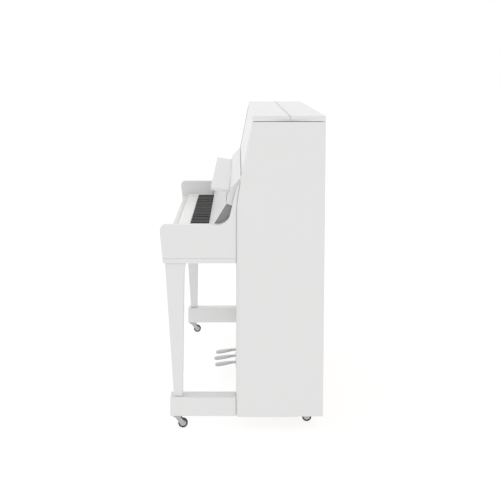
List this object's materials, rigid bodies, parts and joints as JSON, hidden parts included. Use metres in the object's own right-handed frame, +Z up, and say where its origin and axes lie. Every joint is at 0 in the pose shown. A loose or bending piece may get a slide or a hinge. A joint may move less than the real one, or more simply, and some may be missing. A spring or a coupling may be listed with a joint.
{
  "type": "upright piano",
  "caption": "Tall white upright piano with open hinged fallboard and fold-out music shelf, tapered front legs on toe blocks, chrome pedals and swivel casters.",
  "frame": {"origin": "on the floor under the middle of the case's width and depth", "axes": "+X to the treble end (the player's right), -Y to the player, +Z up"},
  "size_m": [1.53, 0.62, 1.2125],
  "materials": {
    "white_polish": "white polyester polished to a mirror gloss on wood board",
    "white_key": "glossy key top",
    "black_key": "satin black key top",
    "grey_bracket": "grey enamel",
    "chrome": "polished chrome",
    "caster_steel": "zinc-plated steel",
    "wheel": "turned metal wheel",
    "hardwood": "planed beech",
    "spruce": "varnished spruce",
    "gold_iron": "gold-bronze lacquer on cast iron",
    "action_metal": "satin aluminium",
    "steel_wire": "drawn music wire",
    "copper_wire": "copper winding",
    "felt": "pressed wool felt on wood shanks",
    "rod_wood": "turned beech dowel",
    "rubber": "soft rubber"
  },
  "bodies": {
    "case": {"side_panel_left": "white_polish", "side_panel_right": "white_polish", "arm_left": "white_polish", "arm_right": "white_polish", "leg_left": "white_polish", "leg_right": "white_polish", "toe_block_left": "white_polish", "toe_block_right": "white_polish", "key_blocks": "white_polish", "key_bed": "white_polish", "key_slip": "white_polish", "upper_front_panel": "white_polish", "lower_front_panel": "white_polish", "lid_rear": "white_polish", "bottom_rail": "white_polish", "fallboard_rail": "white_polish", "pedal_plate": "chrome", "lid_hinge_fixed_leaf": "chrome", "caster_plates": "caster_steel", "back_frame": "hardwood", "key_frame": "hardwood", "bottom_board": "hardwood", "soundboard": "spruce", "iron_plate": "gold_iron", "action_frame": "action_metal", "strings_steel": "steel_wire", "strings_copper": "copper_wire", "lid_buttons": "rubber"},
    "lid": {"lid_front": "white_polish", "lid_hinge_moving_leaf": "chrome"},
    "fallboard": {"fallboard_main": "white_polish", "fallboard_end_brackets": "grey_bracket"},
    "fallboard_flap": {"fallboard_front": "white_polish"},
    "shelf": {"music_shelf": "white_polish"},
    "hammer_set": {"hammers": "felt"},
    "damper_set": {"dampers": "felt"},
    "muffler": {"muffler_rail": "felt"},
    "pedal_left": {"pedal_left": "chrome"},
    "rod_left": {"pedal_rod_left": "rod_wood"},
    "pedal_middle": {"pedal_middle": "chrome"},
    "rod_middle": {"pedal_rod_middle": "rod_wood"},
    "pedal_right": {"pedal_right": "chrome"},
    "rod_right": {"pedal_rod_right": "rod_wood"},
    "key_c4": {"key_c4": "white_key"},
    "key_c_sharp4": {"key_c_sharp4": "black_key"},
    "key_d4": {"key_d4": "white_key"},
    "key_d_sharp4": {"key_d_sharp4": "black_key"},
    "key_e4": {"key_e4": "white_key"},
    "white_keys_bass": {"white_keys_bass": "white_key"},
    "white_keys_treble": {"white_keys_treble": "white_key"},
    "black_keys_bass": {"black_keys_bass": "black_key"},
    "black_keys_treble": {"black_keys_treble": "black_key"},
    "caster_front_left": {"caster_fork_front_left": "chrome"},
    "wheel_front_left": {"caster_wheel_front_left": "wheel"},
    "caster_front_right": {"caster_fork_front_right": "chrome"},
    "wheel_front_right": {"caster_wheel_front_right": "wheel"},
    "caster_rear_left": {"caster_fork_rear_left": "chrome"},
    "wheel_rear_left": {"caster_wheel_rear_left": "wheel"},
    "caster_rear_right": {"caster_fork_rear_right": "chrome"},
    "wheel_rear_right": {"caster_wheel_rear_right": "wheel"}
  },
  "joints": [
    {"name": "lid_hinge", "type": "hinge", "parent": "case", "child": "lid", "pos_m": [0, 0.1775, 1.2106], "axis": [-1, 0, 0], "range_deg": [0, 175]},
    {"name": "fallboard_pivot", "type": "hinge", "parent": "case", "child": "fallboard", "pos_m": [0, -0.1049, 0.787], "axis": [1, 0, 0], "range_deg": [0, 118]},
    {"name": "fallboard_fold", "type": "hinge", "parent": "fallboard", "child": "fallboard_flap", "pos_m": [0, -0.06, 0.875], "axis": [1, 0, 0], "range_deg": [0, 14.1]},
    {"name": "shelf_hinge", "type": "hinge", "parent": "fallboard_flap", "child": "shelf", "pos_m": [0, -0.04773, 0.9194], "axis": [1, 0, 0], "range_deg": [-96.2, 0]},
    {"name": "pedal_left_press", "type": "hinge", "parent": "case", "child": "pedal_left", "pos_m": [-0.1, 0.006, 0.0775], "axis": [1, 0, 0], "range_deg": [0, 8], "stiffness_Nm_per_rad": 12, "springref_deg": -20.05},
    {"name": "pedal_rod_left_lift", "type": "slide", "parent": "case", "child": "rod_left", "axis": [0, 0, 1], "range_m": [0, 0.0168]},
    {"name": "pedal_middle_press", "type": "hinge", "parent": "case", "child": "pedal_middle", "pos_m": [0, 0.006, 0.0775], "axis": [1, 0, 0], "range_deg": [0, 8], "stiffness_Nm_per_rad": 12, "springref_deg": -20.05},
    {"name": "pedal_rod_middle_lift", "type": "slide", "parent": "case", "child": "rod_middle", "axis": [0, 0, 1], "range_m": [0, 0.0168]},
    {"name": "pedal_right_press", "type": "hinge", "parent": "case", "child": "pedal_right", "pos_m": [0.1, 0.006, 0.0775], "axis": [1, 0, 0], "range_deg": [0, 8], "stiffness_Nm_per_rad": 12, "springref_deg": -20.05},
    {"name": "pedal_rod_right_lift", "type": "slide", "parent": "case", "child": "rod_right", "axis": [0, 0, 1], "range_m": [0, 0.0168]},
    {"name": "hammer_rail_swing", "type": "hinge", "parent": "case", "child": "hammer_set", "pos_m": [0, 0.122, 0.865], "axis": [1, 0, 0], "range_deg": [-5.01, 0]},
    {"name": "muffler_drop", "type": "slide", "parent": "case", "child": "muffler", "axis": [0, 0, 1], "range_m": [-0.0301, 0]},
    {"name": "damper_lift", "type": "hinge", "parent": "case", "child": "damper_set", "pos_m": [0, 0.153, 0.816], "axis": [1, 0, 0], "range_deg": [0, 3.01]},
    {"name": "key_c4_press", "type": "hinge", "parent": "case", "child": "key_c4", "pos_m": [0, -0.05, 0.711], "axis": [1, 0, 0], "range_deg": [0, 2.62], "stiffness_Nm_per_rad": 1, "springref_deg": -17.19},
    {"name": "key_c_sharp4_press", "type": "hinge", "parent": "case", "child": "key_c_sharp4", "pos_m": [0, -0.05, 0.711], "axis": [1, 0, 0], "range_deg": [0, 2.62], "stiffness_Nm_per_rad": 1, "springref_deg": -17.19},
    {"name": "key_d4_press", "type": "hinge", "parent": "case", "child": "key_d4", "pos_m": [0, -0.05, 0.711], "axis": [1, 0, 0], "range_deg": [0, 2.62], "stiffness_Nm_per_rad": 1, "springref_deg": -17.19},
    {"name": "key_d_sharp4_press", "type": "hinge", "parent": "case", "child": "key_d_sharp4", "pos_m": [0, -0.05, 0.711], "axis": [1, 0, 0], "range_deg": [0, 2.62], "stiffness_Nm_per_rad": 1, "springref_deg": -17.19},
    {"name": "key_e4_press", "type": "hinge", "parent": "case", "child": "key_e4", "pos_m": [0, -0.05, 0.711], "axis": [1, 0, 0], "range_deg": [0, 2.62], "stiffness_Nm_per_rad": 1, "springref_deg": -17.19},
    {"name": "white_keys_bass_press", "type": "hinge", "parent": "case", "child": "white_keys_bass", "pos_m": [0, -0.05, 0.711], "axis": [1, 0, 0], "range_deg": [0, 2.62], "stiffness_Nm_per_rad": 20, "springref_deg": -17.19},
    {"name": "white_keys_treble_press", "type": "hinge", "parent": "case", "child": "white_keys_treble", "pos_m": [0, -0.05, 0.711], "axis": [1, 0, 0], "range_deg": [0, 2.62], "stiffness_Nm_per_rad": 20, "springref_deg": -17.19},
    {"name": "black_keys_bass_press", "type": "hinge", "parent": "case", "child": "black_keys_bass", "pos_m": [0, -0.05, 0.711], "axis": [1, 0, 0], "range_deg": [0, 2.62], "stiffness_Nm_per_rad": 20, "springref_deg": -17.19},
    {"name": "black_keys_treble_press", "type": "hinge", "parent": "case", "child": "black_keys_treble", "pos_m": [0, -0.05, 0.711], "axis": [1, 0, 0], "range_deg": [0, 2.62], "stiffness_Nm_per_rad": 20, "springref_deg": -17.19},
    {"name": "caster_front_left_swivel", "type": "hinge", "parent": "case", "child": "caster_front_left", "pos_m": [-0.715, -0.252, 0.0465], "axis": [0, 0, 1], "continuous": true},
    {"name": "wheel_front_left_spin", "type": "hinge", "parent": "caster_front_left", "child": "wheel_front_left", "pos_m": [-0.715, -0.229, 0.0185], "axis": [1, 0, 0], "continuous": true},
    {"name": "caster_front_right_swivel", "type": "hinge", "parent": "case", "child": "caster_front_right", "pos_m": [0.715, -0.252, 0.0465], "axis": [0, 0, 1], "continuous": true},
    {"name": "wheel_front_right_spin", "type": "hinge", "parent": "caster_front_right", "child": "wheel_front_right", "pos_m": [0.715, -0.229, 0.0185], "axis": [1, 0, 0], "continuous": true},
    {"name": "caster_rear_left_swivel", "type": "hinge", "parent": "case", "child": "caster_rear_left", "pos_m": [-0.644, 0.233, 0.0465], "axis": [0, 0, 1], "continuous": true},
    {"name": "wheel_rear_left_spin", "type": "hinge", "parent": "caster_rear_left", "child": "wheel_rear_left", "pos_m": [-0.644, 0.256, 0.0185], "axis": [1, 0, 0], "continuous": true},
    {"name": "caster_rear_right_swivel", "type": "hinge", "parent": "case", "child": "caster_rear_right", "pos_m": [0.644, 0.233, 0.0465], "axis": [0, 0, 1], "continuous": true},
    {"name": "wheel_rear_right_spin", "type": "hinge", "parent": "caster_rear_right", "child": "wheel_rear_right", "pos_m": [0.644, 0.256, 0.0185], "axis": [1, 0, 0], "continuous": true}
  ],
  "couplings": [
    {"joint": "fallboard_fold", "follows": "fallboard_pivot", "ratio": 0.11864},
    {"joint": "shelf_hinge", "follows": "fallboard_pivot", "ratio": -0.81356},
    {"joint": "pedal_rod_left_lift", "follows": "pedal_left_press", "m_per_rad": 0.119},
    {"joint": "pedal_rod_middle_lift", "follows": "pedal_middle_press", "m_per_rad": 0.119},
    {"joint": "pedal_rod_right_lift", "follows": "pedal_right_press", "m_per_rad": 0.119},
    {"joint": "hammer_rail_swing", "follows": "pedal_left_press", "ratio": -0.625},
    {"joint": "muffler_drop", "follows": "pedal_middle_press", "m_per_rad": -0.21486},
    {"joint": "damper_lift", "follows": "pedal_right_press", "ratio": 0.375}
  ]
}
